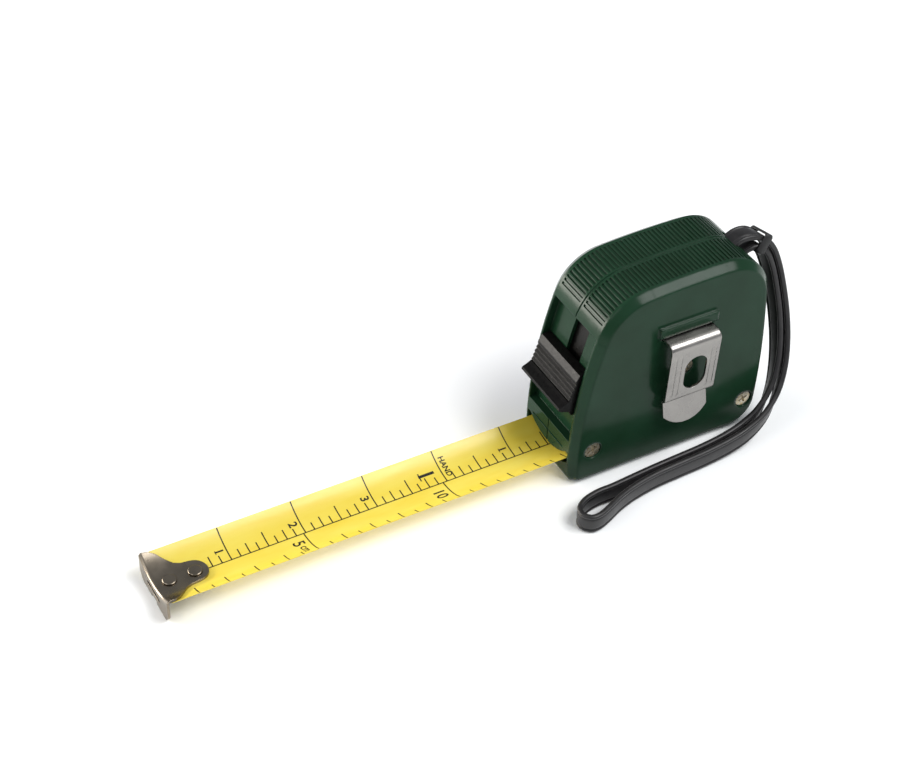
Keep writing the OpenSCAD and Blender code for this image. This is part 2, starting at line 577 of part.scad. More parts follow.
// room between the strands and the keeper
keeper_gap = 2.1;
strap_half = [3.0, 2.25, 1.5, 1.45, 1.45, 1.45, 1.45, 1.45, 1.45, 1.45, 1.45, 1.45, 1.45, 1.45, 1.45, 1.5,
    1.9];
strap_loop = [[28.5, 27.5], [34, 27.6], [39.4, 28.8], [43, 31.2], [43.9, 34.2], [42.0, 36.8],
    [38.6, 36.9], [34, 35.2], [28.5, 32.8]];
function unit(v) = v / norm(v);
function mid_t(i) = unit(strap_mid[min(i + 1, len(strap_mid) - 1)] - strap_mid[max(i - 1, 0)]);
function mid_w(i) = let (w = [0, cos(strap_turn[i]), sin(strap_turn[i])],
    t = mid_t(i)) unit(w - t * (w * t));
function mid_n(i) = cross(mid_t(i), mid_w(i));
pin3 = [pin_c[0], 0, pin_c[1]];
out3 = [cos(137), 0, sin(137)];
side3 = [-sin(137), 0, cos(137)];
wrap = pin_r + 0.2 + strap_t / 2;
wrap_steps = [170, 144, 117, 90];
// the strap's centre line, round the pin, out, round the end loop and back
n_mid = len(strap_mid);
far_pts = [for (q = strap_loop) [q[0], q[1], 3.8]];
strap_pts = concat(
    [for (a = wrap_steps) pin3 + wrap * (cos(a) * out3 + sin(a) * side3)],
    [for (i = [0 : n_mid - 1]) strap_mid[i] + mid_n(i) * strap_half[i]],
    far_pts,
    [for (i = [n_mid - 1 : -1 : 0]) strap_mid[i] - mid_n(i) * strap_half[i]],
    [for (i =
        [len(wrap_steps) - 1 : -1
        : 0]) pin3 + wrap * (cos(wrap_steps[i]) * out3 - sin(wrap_steps[i]) * side3)]);
strap_ws = concat([for (a = wrap_steps) [0, 1, 0]], [for (i = [0 : n_mid - 1]) mid_w(i)],
    [for (q = far_pts) [0, 0, 1]], [for (i = [n_mid - 1 : -1 : 0]) mid_w(i)],
        [for (a = wrap_steps) [0, 1, 0]]);
n_strap = len(strap_pts);
function strap_tan(i) = unit(strap_pts[min(i + 1, n_strap - 1)] - strap_pts[max(i - 1, 0)]);
function strap_ring(i) = let (t = strap_tan(i), w = unit(strap_ws[i] - t * (strap_ws[i] * t)),
    n = cross(t, w), a = strap_wide / 2, b = strap_t / 2)
    [for (q = [[-a, -0.6 * b], [-a + 0.5, -b], [a - 0.5, -b], [a, -0.6 * b], [a, 0.6 * b], [a - 0.5, b],
        [-a + 0.5, b], [-a, 0.6 * b]])
        strap_pts[i] + w * q[0] + n * q[1]];
module strap() color([0.09, 0.09, 0.09]) polyhedron(
    points = [for (i = [0 : n_strap - 1]) for (p = strap_ring(i)) p],
    faces = concat([[for (j = [7 : -1 : 0]) j]],
        [for (i = [0 : n_strap - 2]) for (j = [0 : 7]) for (f = [0, 1]) let (a = i * 8, b = a + 8,
            k = (j + 1) % 8)
            f == 0 ? [a + j, a + k, b + k] : [a + j, b + k, b + j]],
        [[for (j = [0 : 7]) (n_strap - 1) * 8 + j]]));

module strap_keeper() color([0.1, 0.1, 0.1]) {
    i = 2;
    t = mid_t(i); w = mid_w(i); n = mid_n(i); c = strap_mid[i];
    multmatrix([[t[0], w[0], n[0], c[0]], [t[1], w[1], n[1], c[1]], [t[2], w[2], n[2], c[2]],
        [0, 0, 0, 1]]) difference() {
        cube([4, strap_wide + 2.8, 2 * strap_half[i] + strap_t + keeper_gap + 1.8], center = true);
        cube([6, strap_wide + 1.2, 2 * strap_half[i] + strap_t + keeper_gap], center = true);
    }
}

shell_label();
shell_clip();
label();
screw_front_side();
screw_rear_side();
screw_centre();
arbor();
strap_pin();
brake_pad();
blade_guide();
mouth_bumper();
drum();
drum_cover();
blade_coil();
blade_anchor();
mainspring();
blade_strip();
blade_end();
blade_backing();
rivet_near();
rivet_far();
hook();
lock_button();
lock_slider();
belt_clip();
strap();
strap_keeper();
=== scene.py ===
"""Looks of a pocket tape measure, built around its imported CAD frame.

The row frame holds throughout: +X is the way the blade pulls out, +Z is up, +Y is the belt-clip side.
Sizes are in millimetres until a mesh is made, and each piece is named for the part it stands for.
"""
import math

import bmesh
import bpy
import numpy as np
from mathutils import Matrix, Vector


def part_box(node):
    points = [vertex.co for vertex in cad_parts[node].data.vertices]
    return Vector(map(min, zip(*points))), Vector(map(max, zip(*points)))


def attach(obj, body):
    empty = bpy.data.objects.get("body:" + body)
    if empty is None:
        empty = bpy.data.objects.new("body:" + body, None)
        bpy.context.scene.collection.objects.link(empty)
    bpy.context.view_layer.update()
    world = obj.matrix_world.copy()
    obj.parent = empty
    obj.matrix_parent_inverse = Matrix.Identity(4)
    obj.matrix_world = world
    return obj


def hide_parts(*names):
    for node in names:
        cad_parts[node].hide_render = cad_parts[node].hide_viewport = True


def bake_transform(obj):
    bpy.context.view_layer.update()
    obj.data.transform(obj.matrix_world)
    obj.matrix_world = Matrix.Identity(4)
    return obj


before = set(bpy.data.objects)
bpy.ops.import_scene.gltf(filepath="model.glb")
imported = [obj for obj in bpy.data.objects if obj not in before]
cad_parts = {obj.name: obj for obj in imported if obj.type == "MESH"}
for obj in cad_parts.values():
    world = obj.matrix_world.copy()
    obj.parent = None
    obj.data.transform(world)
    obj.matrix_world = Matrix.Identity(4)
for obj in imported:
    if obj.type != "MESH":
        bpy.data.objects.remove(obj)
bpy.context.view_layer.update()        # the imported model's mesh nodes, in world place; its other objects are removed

MM = 0.001

# ---------------------------------------------------------------- sizes and places, in millimetres


def node_box(name):
    """Lowest and highest corner of a CAD node, in millimetres."""
    low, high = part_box(name)
    return np.array(low) / MM, np.array(high) / MM


case_low = node_box("shell_label")[0]
strip_low = node_box("blade_strip")[0]
hook_low, hook_high = node_box("hook")
label_low, label_high = node_box("label")

HALF_THICK = -case_low[1]           # from the seam to the label-side panel
HOOK_SHEET = 0.8                    # thickness of the hook's sheet
SCALE_ZERO_X = hook_high[0] - HOOK_SHEET   # the scale counts from the hook plate's inner face

BLADE_FLAT = 25.0                   # width of the blade when pressed flat
BLADE_SAG = 3.8                     # depth of its curve
BLADE_THICK = 0.16                  # steel with its lacquer
BLADE_MID_Z = strip_low[2] + BLADE_THICK / 2


def half_angle(sag, flat):
    """Half the angle of an arc of this length whose middle lies this deep, in radians."""
    low, high = 0.1, 1.4
    for _ in range(40):
        mid = (low + high) / 2
        if (1 - math.cos(mid)) / mid > 2 * sag / flat:
            high = mid
        else:
            low = mid
    return low


BLADE_HALF_ANGLE = half_angle(BLADE_SAG, BLADE_FLAT)
BLADE_R = BLADE_FLAT / 2 / BLADE_HALF_ANGLE
BLADE_AXIS_Z = BLADE_MID_Z + BLADE_R
INCH = 25.4


def blade_point(x, across, lift=0.0):
    """A point over the blade: across runs along its curved width from the middle, +Y positive."""
    angle = across / BLADE_R
    r = BLADE_R - lift
    return (x, r * math.sin(angle), BLADE_AXIS_Z - r * math.cos(angle))


# ---------------------------------------------------------------- camera

CAMERA_PLACE = (0.30119, 0.40682, 0.45293)   # metres
CAMERA_AZIMUTH, CAMERA_DIP, CAMERA_ROLL = 150.832, 41.124, 1.12   # degrees
CAMERA_LENS = 79.34                          # on a 36 mm wide sensor


def place_camera():
    a, e, r = (math.radians(v) for v in (CAMERA_AZIMUTH, CAMERA_DIP, CAMERA_ROLL))
    right = Vector((math.cos(a), math.sin(a), 0))
    ahead = Vector((-math.sin(a) * math.cos(e), math.cos(a) * math.cos(e), -math.sin(e)))
    up = right.cross(ahead)
    turned_right = right * math.cos(r) + up * math.sin(r)
    turned_up = up * math.cos(r) - right * math.sin(r)
    data = bpy.data.cameras.new("camera")
    data.sensor_width = 36
    data.lens = CAMERA_LENS
    data.clip_start, data.clip_end = 0.01, 20
    camera = bpy.data.objects.new("camera", data)
    axes = Matrix((turned_right, turned_up, -ahead)).transposed()
    camera.matrix_world = Matrix.Translation(CAMERA_PLACE) @ axes.to_4x4()
    bpy.context.scene.collection.objects.link(camera)
    bpy.context.scene.camera = camera


place_camera()

# ---------------------------------------------------------------- materials


def linear(hex_colour):
    """An sRGB hex colour as linear RGBA."""
    parts = [int(hex_colour[i:i + 2], 16) / 255 for i in (0, 2, 4)]
    return tuple(c / 12.92 if c <= 0.04045 else ((c + 0.055) / 1.055) ** 2.4 for c in parts) + (1.0,)


def add(tree, kind, settings=None, inputs=None):
    """Adds a node; an input is either a value or the output socket of another node."""
    node = tree.nodes.new(kind)
    for key, value in (settings or {}).items():
        setattr(node, key, value)
    for key, value in (inputs or {}).items():
        if isinstance(value, bpy.types.NodeSocket):
            tree.links.new(value, node.inputs[key])
        else:
            node.inputs[key].default_value = value
    return node


def start_material(name, **shader_values):
    """A material with one principled shader; returns it, its tree, the shader and object coordinates."""
    material = bpy.data.materials.new(name)
    material.use_nodes = True
    tree = material.node_tree
    tree.nodes.clear()
    shader = add(tree, "ShaderNodeBsdfPrincipled", inputs=shader_values)
    add(tree, "ShaderNodeOutputMaterial", inputs={"Surface": shader.outputs["BSDF"]})
    coords = add(tree, "ShaderNodeTexCoord").outputs["Object"]
    return material, tree, shader, coords


def grains(tree, coords, size_mm, detail=2.0, roughness=0.5, stretch=(1, 1, 1)):
    """Noise whose blobs are about size_mm across; stretch makes them longer along an axis."""
    scaled = add(tree, "ShaderNodeMapping", inputs={
        "Vector": coords, "Scale": tuple(1 / (size_mm * MM * s) for s in stretch)})
    return add(tree, "ShaderNodeTexNoise", inputs={
        "Vector": scaled.outputs["Vector"], "Scale": 1.0, "Detail": detail, "Roughness": roughness}
    ).outputs["Fac"]


def spread(tree, value, low, high, from_low=0.3, from_high=0.7):
    """Maps noise onto a range of numbers."""
    return add(tree, "ShaderNodeMapRange", inputs={
        "Value": value, "From Min": from_low, "From Max": from_high, "To Min": low, "To Max": high}
    ).outputs["Result"]


def blend_colours(tree, factor, first, second):
    """A colour between two hex colours."""
    node = add(tree, "ShaderNodeMix", {"data_type": "RGBA"})
    tree.links.new(factor, node.inputs[0])
    node.inputs[6].default_value = linear(first)
    node.inputs[7].default_value = linear(second)
    return node.outputs[2]


def rough_up(tree, height, depth_mm, strength, edge_mm=0.0):
    """A bump normal; edge_mm, or a socket in metres, softens the light on edges as a moulded radius does."""
    inputs = {"Height": height, "Distance": depth_mm * MM, "Strength": strength}
    if edge_mm:
        radius = edge_mm if isinstance(edge_mm, bpy.types.NodeSocket) else edge_mm * MM
        inputs["Normal"] = add(tree, "ShaderNodeBevel", {"samples": 8}, {"Radius": radius}).outputs["Normal"]
    return add(tree, "ShaderNodeBump", inputs=inputs).outputs["Normal"]


def link(tree, shader, **sockets):
    names = {"colour": "Base Color", "roughness": "Roughness", "normal": "Normal"}
    for key, socket in sockets.items():
        tree.links.new(socket, shader.inputs[names[key]])


def moulded_abs_green():
    """Glossy ABS from a polished mould: deep green, clear reflections that waver very slightly.

    The specular level is set well under the usual 0.5, so that the pale floor does not grey the panels.
    """
    mat, tree, shader, xyz = start_material("abs_polished_green", **{"IOR": 1.5, "Specular IOR Level": 0.15})
    cloud = grains(tree, xyz, 14, 2)
    haze = grains(tree, xyz, 3, 3)
    # the long bevels round the panels are blended wide, the ribs and the seam between them stay crisp
    across = add(tree, "ShaderNodeMath", {"operation": "ABSOLUTE"}, {
        0: add(tree, "ShaderNodeSeparateXYZ", inputs={"Vector": xyz}).outputs["Y"]}).outputs["Value"]
    edge = spread(tree, across, 0.25 * MM, 1.3 * MM, 12.4 * MM, 12.9 * MM)
    link(tree, shader,
         colour=blend_colours(tree, spread(tree, cloud, 0, 1), "16301f", "1b3726"),
         roughness=spread(tree, haze, 0.15, 0.24),
         normal=rough_up(tree, grains(tree, xyz, 9, 2), 0.05, 0.25, edge_mm=edge))
    return mat


def moulded_abs_black():
    """Satin black ABS of the thumb lock: soft highlights on the ribs, reflections held low."""
    mat, tree, shader, xyz = start_material("abs_satin_black", **{"IOR": 1.5, "Specular IOR Level": 0.14})
    link(tree, shader,
         colour=blend_colours(tree, spread(tree, grains(tree, xyz, 1.6, 3), 0, 1), "0a0909", "121110"),
         roughness=spread(tree, grains(tree, xyz, 0.8, 2), 0.27, 0.4),
         normal=rough_up(tree, grains(tree, xyz, 0.35, 2), 0.02, 0.3, edge_mm=0.22))
    return mat


def lacquered_steel_yellow():
    """Blade steel in yellow lacquer under clear nylon: even colour, faint cloudiness, a soft long sheen."""
    mat, tree, shader, xyz = start_material(
        "blade_lacquer_yellow",
        **{"IOR": 1.5, "Specular IOR Level": 0.5, "Coat Weight": 0.25, "Coat Roughness": 0.2})
    cloud = grains(tree, xyz, 5, 3, stretch=(3, 1, 1))
    link(tree, shader,
         colour=blend_colours(tree, spread(tree, cloud, 0, 1), "e9ce44", "ecd757"),
         roughness=spread(tree, grains(tree, xyz, 2, 3, stretch=(8, 1, 1)), 0.3, 0.44),
         normal=rough_up(tree, grains(tree, xyz, 0.4, 2, stretch=(6, 1, 1)), 0.01, 0.25))
    return mat


def printed_ink(name, first, second):
    """Screen-printed ink: dense, a little rougher than what it lies on."""
    mat, tree, shader, xyz = start_material(name, IOR=1.48)
    link(tree, shader,
         colour=blend_colours(tree, spread(tree, grains(tree, xyz, 0.3, 2), 0, 1), first, second),
         roughness=spread(tree, grains(tree, xyz, 0.5, 2), 0.4, 0.5))
    return mat


def nickel_sheet():
    """Nickel-plated pressed steel: warm grey with broad cloudy stains and fine lines across the tongue."""
    mat, tree, shader, xyz = start_material("nickel_pressed_warm", Metallic=1.0)
    lines = grains(tree, xyz, 0.12, 3, stretch=(1, 18, 1))
    stain = grains(tree, xyz, 6, 2)
    link(tree, shader,
         colour=blend_colours(tree, spread(tree, stain, 0, 1), "82786a", "8f8577"),
         roughness=spread(tree, stain, 0.22, 0.36),
         normal=rough_up(tree, lines, 0.012, 0.35, edge_mm=0.2))
    return mat


def zinc_clip_sheet():
    """Zinc plate on spring steel: mid-grey metal with fine tumbling marks and an uneven shine."""
    mat, tree, shader, xyz = start_material("zinc_bright_sheet", Metallic=1.0)
    marks = grains(tree, xyz, 0.25, 4, 0.7)
    patch = grains(tree, xyz, 6, 2)
    link(tree, shader,
         colour=blend_colours(tree, spread(tree, patch, 0, 1), "8f8c89", "9d9a96"),
         roughness=spread(tree, patch, 0.2, 0.36),
         normal=rough_up(tree, marks, 0.006, 0.25, edge_mm=0.2))
    return mat


def yellow_zinc_screw():
    """Yellow-passivated screw steel: brassy, worn paler in patches."""
    mat, tree, shader, xyz = start_material("screw_zinc_yellow", Metallic=1.0)
    worn = grains(tree, xyz, 0.7, 3)
    link(tree, shader,
         colour=blend_colours(tree, spread(tree, worn, 0, 1), "b9a678", "d6d1c6"),
         roughness=spread(tree, worn, 0.24, 0.4),
         normal=rough_up(tree, worn, 0.03, 0.3, edge_mm=0.15))
    return mat


def leatherette_strap():
    """Embossed leatherette over webbing: near black, fine pebbled grain, soft even sheen."""
    mat, tree, shader, xyz = start_material(
        "leatherette_black",
        **{"IOR": 1.5, "Specular IOR Level": 0.5, "Sheen Weight": 0.12, "Sheen Roughness": 0.4})
    pebble = add(tree, "ShaderNodeTexVoronoi", {"feature": "DISTANCE_TO_EDGE"}, {
        "Vector": xyz, "Scale": 1 / (0.55 * MM)}).outputs["Distance"]
    scuff = grains(tree, xyz, 2.5, 3)
    link(tree, shader,
         colour=blend_colours(tree, spread(tree, scuff, 0, 1), "121112", "1f1d1e"),
         roughness=spread(tree, scuff, 0.36, 0.5),
         normal=rough_up(tree, pebble, 0.05, 0.35))
    return mat


def label_vinyl():
    """Printed vinyl under gloss film: violet-navy, flat and reflective."""
    mat, tree, shader, xyz = start_material(
        "vinyl_gloss_navy",
        **{"IOR": 1.48, "Specular IOR Level": 0.35, "Coat Weight": 0.15, "Coat Roughness": 0.1})
    link(tree, shader,
         colour=blend_colours(tree, spread(tree, grains(tree, xyz, 8, 2), 0, 1), "1e1656", "251c62"),
         roughness=spread(tree, grains(tree, xyz, 1.5, 2), 0.2, 0.28),
         normal=rough_up(tree, grains(tree, xyz, 5, 2), 0.03, 0.15))
    return mat


def plain_part(name, first, second, metallic, rough_low, rough_high, grain_mm):
    """Pieces inside the case: matt plastic, rubber or turned steel by its numbers."""
    values = {"Metallic": metallic} if metallic else {"IOR": 1.5}
    mat, tree, shader, xyz = start_material(name, **values)
    noise = grains(tree, xyz, grain_mm, 3)
    link(tree, shader,
         colour=blend_colours(tree, spread(tree, noise, 0, 1), first, second),
         roughness=spread(tree, noise, rough_low, rough_high),
         normal=rough_up(tree, noise, 0.02, 0.3))
    return mat


case_green = moulded_abs_green()
lock_black = moulded_abs_black()
blade_yellow = lacquered_steel_yellow()
scale_ink = printed_ink("ink_black_scale", "0b0a08", "14120e")
label_white = printed_ink("ink_white_label", "e9e9ee", "f6f6fa")
label_red = printed_ink("ink_red_label", "b3202c", "c22a35")
hook_nickel = nickel_sheet()
clip_zinc = zinc_clip_sheet()
screw_zinc = yellow_zinc_screw()
strap_black = leatherette_strap()
label_navy = label_vinyl()
drum_pom = plain_part("acetal_moulded_ivory", "b8b4a6", "c6c3b6", 0.0, 0.4, 0.55, 2.0)
guide_black = plain_part("nylon_moulded_black", "121212", "1c1c1c", 0.0, 0.45, 0.6, 1.0)
bumper_rubber = plain_part("rubber_moulded_black", "0f0f0f", "191919", 0.0, 0.65, 0.8, 0.6)
post_steel = plain_part("steel_turned_grey", "8b8d90", "a3a5a8", 1.0, 0.3, 0.42, 0.5)
spring_steel = plain_part("spring_steel_blued", "50586a", "687082", 1.0, 0.28, 0.4, 1.2)

# ---------------------------------------------------------------- mesh helpers


def shade_by_angle(mesh, degrees):
    """Smooth faces, with the edges sharper than the angle kept crisp."""
    bm = bmesh.new()
    bm.from_mesh(mesh)
    bmesh.ops.recalc_face_normals(bm, faces=bm.faces)
    for face in bm.faces:
        face.smooth = True
    for edge in bm.edges:
        edge.smooth = len(edge.link_faces) == 2 and edge.calc_face_angle(0) < math.radians(degrees)
    bm.to_mesh(mesh)
    bm.free()


def piece(name, points, faces, material, crisp=40):
    """A mesh object from points in millimetres in the row frame."""
    mesh = bpy.data.meshes.new(name)
    mesh.from_pydata([[c * MM for c in p] for p in points], [], faces)
    mesh.validate()
    shade_by_angle(mesh, crisp)
    mesh.materials.append(material)
    obj = bpy.data.objects.new(name, mesh)
    bpy.context.scene.collection.objects.link(obj)
    return obj


def sheet_mesh(top, bottom):
    """Points and faces of a closed sheet between two grids of points of the same shape."""
    rows, cols = len(top), len(top[0])
    under = rows * cols
    points = [p for row in top for p in row] + [p for row in bottom for p in row]
    faces = []
    for i in range(rows - 1):
        for j in range(cols - 1):
            a, b = i * cols + j, (i + 1) * cols + j
            faces.append((a, b, b + 1, a + 1))
            faces.append((a + 1 + under, b + 1 + under, b + under, a + under))
    rim = [j for j in range(cols)] + [i * cols + cols - 1 for i in range(1, rows)]
    rim += [(rows - 1) * cols + j for j in range(cols - 2, -1, -1)]
    rim += [i * cols for i in range(rows - 2, 0, -1)]
    faces += [(a, b, b + under, a + under) for a, b in zip(rim, rim[1:] + rim[:1])]
    return points, faces


def tube_mesh(rings):
    """Points and faces of a closed tube through rings of points."""
    sides = len(rings[0])
    points = [p for ring in rings for p in ring]
    faces = [tuple(range(sides))[::-1], tuple(range(len(points) - sides, len(points)))]
    for i in range(len(rings) - 1):
        for j in range(sides):
            k = (j + 1) % sides
            faces.append((i * sides + j, i * sides + k, (i + 1) * sides + k, (i + 1) * sides + j))
    return points, faces


def curve_through(points, step):
    """Points about step apart on a smooth curve through the given points."""
    pts = np.array(points, float)
    pts = np.vstack([2 * pts[0] - pts[1], pts, 2 * pts[-1] - pts[-2]])
    out = []
    for a, b, c, d in zip(pts, pts[1:], pts[2:], pts[3:]):
        n = max(1, round(np.linalg.norm(c[:3] - b[:3]) / step))
        for t in np.arange(n) / n:
            out.append(0.5 * (2 * b + (c - a) * t + (2 * a - 5 * b + 4 * c - d) * t**2
                              + (3 * b - a - 3 * c + d) * t**3))
    return np.array(out + [pts[-2]])


def rounded_path(corners, steps=8):
    """A 2-D path whose corners, given as (a, b, radius), are rounded into arcs."""
    pts = np.array([c[:2] for c in corners], float)
    out = [pts[0]]
    for i in range(1, len(corners) - 1):
        p, radius = pts[i], corners[i][2]
        u = (pts[i - 1] - p) / np.linalg.norm(pts[i - 1] - p)
        v = (pts[i + 1] - p) / np.linalg.norm(pts[i + 1] - p)
        half = math.acos(np.clip(u @ v, -1, 1)) / 2
        reach = radius / math.tan(half)
        centre = p + (u + v) / np.linalg.norm(u + v) * radius / math.sin(half)
        start, end = p + u * reach - centre, p + v * reach - centre
        turn = math.atan2(start[0] * end[1] - start[1] * end[0], start @ end)
        for k in range(steps + 1):
            a = turn * k / steps
            out.append(centre + [start[0] * math.cos(a) - start[1] * math.sin(a),
                                 start[0] * math.sin(a) + start[1] * math.cos(a)])
    out.append(pts[-1])
    return np.array(out)


def even_path(path, step):
    """The same path with points no more than step apart."""
    out = [path[0]]
    for a, b in zip(path, path[1:]):
        n = max(1, math.ceil(np.linalg.norm(b - a) / step))
        out += [a + (b - a) * k / n for k in range(1, n + 1)]
    return np.array(out)


def unit(v):
    return v / np.linalg.norm(v)


def share(value):
    """Keeps a number between nought and one."""
    return min(max(value, 0), 1)


def cut(obj, *cutters):
    """Takes solid cutters, given as (points, faces), out of a piece."""
    for points, faces in cutters:
        mesh = bpy.data.meshes.new("cutter")
        mesh.from_pydata([[c * MM for c in p] for p in points], [], faces)
        bm = bmesh.new()
        bm.from_mesh(mesh)
        bmesh.ops.recalc_face_normals(bm, faces=bm.faces)
        bm.to_mesh(mesh)
        bm.free()
        tool = bpy.data.objects.new("cutter", mesh)
        bpy.context.scene.collection.objects.link(tool)
        modifier = obj.modifiers.new("cut", "BOOLEAN")
        modifier.operation, modifier.solver, modifier.object = "DIFFERENCE", "EXACT", tool
        bpy.context.view_layer.update()
        result = bpy.data.meshes.new_from_object(obj.evaluated_get(bpy.context.evaluated_depsgraph_get()))
        obj.modifiers.clear()
        obj.data = result
        bpy.data.objects.remove(tool)
    shade_by_angle(obj.data, 40)


def prism(outline, to_3d, near, far):
    """A straight solid whose outline, in 2-D, is placed by to_3d(a, b, depth) from near to far."""
    n = len(outline)
    points = [to_3d(a, b, near) for a, b in outline] + [to_3d(a, b, far) for a, b in outline]
    faces = [tuple(range(n)), tuple(range(2 * n - 1, n - 1, -1))]
    faces += [(i, (i + 1) % n, (i + 1) % n + n, i + n) for i in range(n)]
    return points, faces


# ---------------------------------------------------------------- wrist strap, the cord of this object

STRAP_WIDE, STRAP_THICK = 7.0, 1.9
# the line midway between the two strands, from the case's rear top corner down to the table and along it
STRAP_MIDDLE = [
    (-31.4, 0, 65.6), (-35.4, 0.4, 66.4), (-39.1, 0.9, 64.9), (-42.0, 1.9, 61.2), (-44.0, 3.4, 55.4),
    (-45.0, 6.0, 48), (-45.5, 9.2, 39), (-44.8, 12.8, 30), (-42.6, 16.6, 22), (-38.6, 20.4, 15),
    (-32.8, 23.4, 9.6), (-25.8, 25, 6.2), (-18, 26, 4.6), (-8, 26.7, 3.9), (3, 27.2, 3.8),
    (13, 27.8, 3.8), (22, 28.9, 3.8)]
# turn of the strap's width from level to upright at each of those points, in degrees
STRAP_TURN = [0, 0, 14, 28, 39, 46, 50, 54, 60, 69, 79, 87, 90, 90, 90, 90, 90]
# half the distance between the middles of the two strands at each of those points
STRAP_APART = [3.0, 2.25, 1.5] + [1.45] * 12 + [1.5, 1.9]
# the far loop, lying on edge on the table, as (x, y)
STRAP_LOOP = [(28.5, 27.5), (34, 27.6), (39.4, 28.8), (43, 31.2), (43.9, 34.2), (42.0, 36.8), (38.6, 36.9),
              (34, 35.2), (28.5, 32.8)]
STRAP_LOOP_Z = 3.8
STRAP_CORNER_DEGREES = 137          # direction in which the strap leaves the rear top corner
WRAP_DEGREES = (170, 144, 117, 90)  # points of the strap round its pin

pin_low, pin_high = node_box("strap_pin")
pin_centre = (pin_low + pin_high) / 2
PIN_WRAP = (pin_high[0] - pin_low[0]) / 2 + 0.2 + STRAP_THICK / 2


def strap_frames():
    """Direction, width direction and flat normal at each point of the strap's middle line."""
    pts = np.array(STRAP_MIDDLE, float)
    frames = []
    for i, p in enumerate(pts):
        t = unit(pts[min(i + 1, len(pts) - 1)] - pts[max(i - 1, 0)])
        twist = math.radians(STRAP_TURN[i])
        w = np.array([0, math.cos(twist), math.sin(twist)])
        w = unit(w - t * (w @ t))
        frames.append((p, t, w, np.cross(t, w)))
    return frames


def strap_route():
    """The strap's centre line with its width direction at each point, six numbers a row."""
    a = math.radians(STRAP_CORNER_DEGREES)
    out, side = np.array([math.cos(a), 0, math.sin(a)]), np.array([-math.sin(a), 0, math.cos(a)])
    flat = [0, 1, 0]
    frames = strap_frames()
    rows = []
    for w in WRAP_DEGREES:
        w = math.radians(w)
        rows.append([*(pin_centre + PIN_WRAP * (math.cos(w) * out + math.sin(w) * side)), *flat])
    rows += [[*(p + n * h), *w] for (p, t, w, n), h in zip(frames, STRAP_APART)]
    rows += [[x, y, STRAP_LOOP_Z, 0, 0, 1] for x, y in STRAP_LOOP]
    rows += [[*(p - n * h), *w] for (p, t, w, n), h in reversed(list(zip(frames, STRAP_APART)))]
    for w in reversed(WRAP_DEGREES):
        w = math.radians(w)
        rows.append([*(pin_centre + PIN_WRAP * (math.cos(w) * out - math.sin(w) * side)), *flat])
    return curve_through(rows, 1.3)


def strap_section():
    """Half-round edges, then a pressed groove inside each edge, then a slightly crowned middle."""
    a, b = STRAP_WIDE / 2, STRAP_THICK / 2
    face = [(a, 0), (a - 0.05, 0.55 * b), (a - 0.35, 0.9 * b), (a - 0.7, b), (a - 1.05, 0.93 * b),
            (a - 1.22, 0.66 * b), (a - 1.42, 0.66 * b), (a - 1.62, 0.86 * b), (a - 2.2, 0.92 * b),
            (0.5, 0.96 * b)]
    top = face + [(-u, v) for u, v in reversed(face)]
    return top + [(u, -v) for u, v in reversed(top[1:-1])]


def make_strap():
    route = strap_route()
    line, wide = route[:, :3], route[:, 3:]
    section = strap_section()
    rings = []
    for i, p in enumerate(line):
        t = unit(line[min(i + 1, len(line) - 1)] - line[max(i - 1, 0)])
        w = unit(wide[i] - t * (wide[i] @ t))
        n = np.cross(t, w)
        rings.append([p + w * u + n * v for u, v in section])
    points, faces = tube_mesh(rings)
    strap = piece("wrist_strap", points, faces, strap_black, crisp=60)
    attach(strap, "case")
    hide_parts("strap")
    length = sum(np.linalg.norm(b - a) for a, b in zip(line, line[1:])) * MM
    return strap, line, length


def make_strap_slide():
    """The moulded slide that holds the two strands together near the case."""
    p, t, w, n = strap_frames()[2]
    inner = (STRAP_WIDE / 2 + 0.5, STRAP_APART[2] + STRAP_THICK / 2 + 0.4)
    outer = (inner[0] + 0.7, inner[1])

    def ring(half, radius, along, steps=5):
        loop = []
        for k in range(4):
            a0 = k * math.pi / 2
            sx, sy = (1, -1, -1, 1)[k], (1, 1, -1, -1)[k]
            for q in range(steps + 1):
                a = a0 + q / steps * math.pi / 2
                u = sx * (half[0] - radius) + radius * math.cos(a)
                v = sy * (half[1] - radius) + radius * math.sin(a)
                loop.append(p + w * u + n * v + t * along)
        return loop

    long = 1.6
    rings = [ring(inner, 0.5, -long), ring((outer[0] - 0.3, outer[1] + 0.55), 1.0, -long),
             ring((outer[0], outer[1] + 0.85), 1.2, -long + 0.35),
             ring((outer[0], outer[1] + 0.85), 1.2, long - 0.35),
             ring((outer[0] - 0.3, outer[1] + 0.55), 1.0, long), ring(inner, 0.5, long)]
    sides = len(rings[0])
    points = [q for r in rings for q in r]
    faces = []
    for i in range(len(rings)):
        for j in range(sides):
            k, m = (j + 1) % sides, (i + 1) % len(rings)
            faces.append((i * sides + j, i * sides + k, m * sides + k, m * sides + j))
    slide = piece("strap_slide", points, faces, guide_black, crisp=50)
    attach(slide, "case")
    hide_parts("strap_keeper")
    return slide


strap, strap_line, strap_length = make_strap()
strap_slide = make_strap_slide()

# ---------------------------------------------------------------- blade and its printed scale

BLADE_INSIDE_X = strip_low[0]       # where the drawn blade begins inside the case
BLADE_TIP_X = SCALE_ZERO_X - 0.9
# half the blade's curved width, from its middle line to either edge
EDGE = BLADE_FLAT / 2


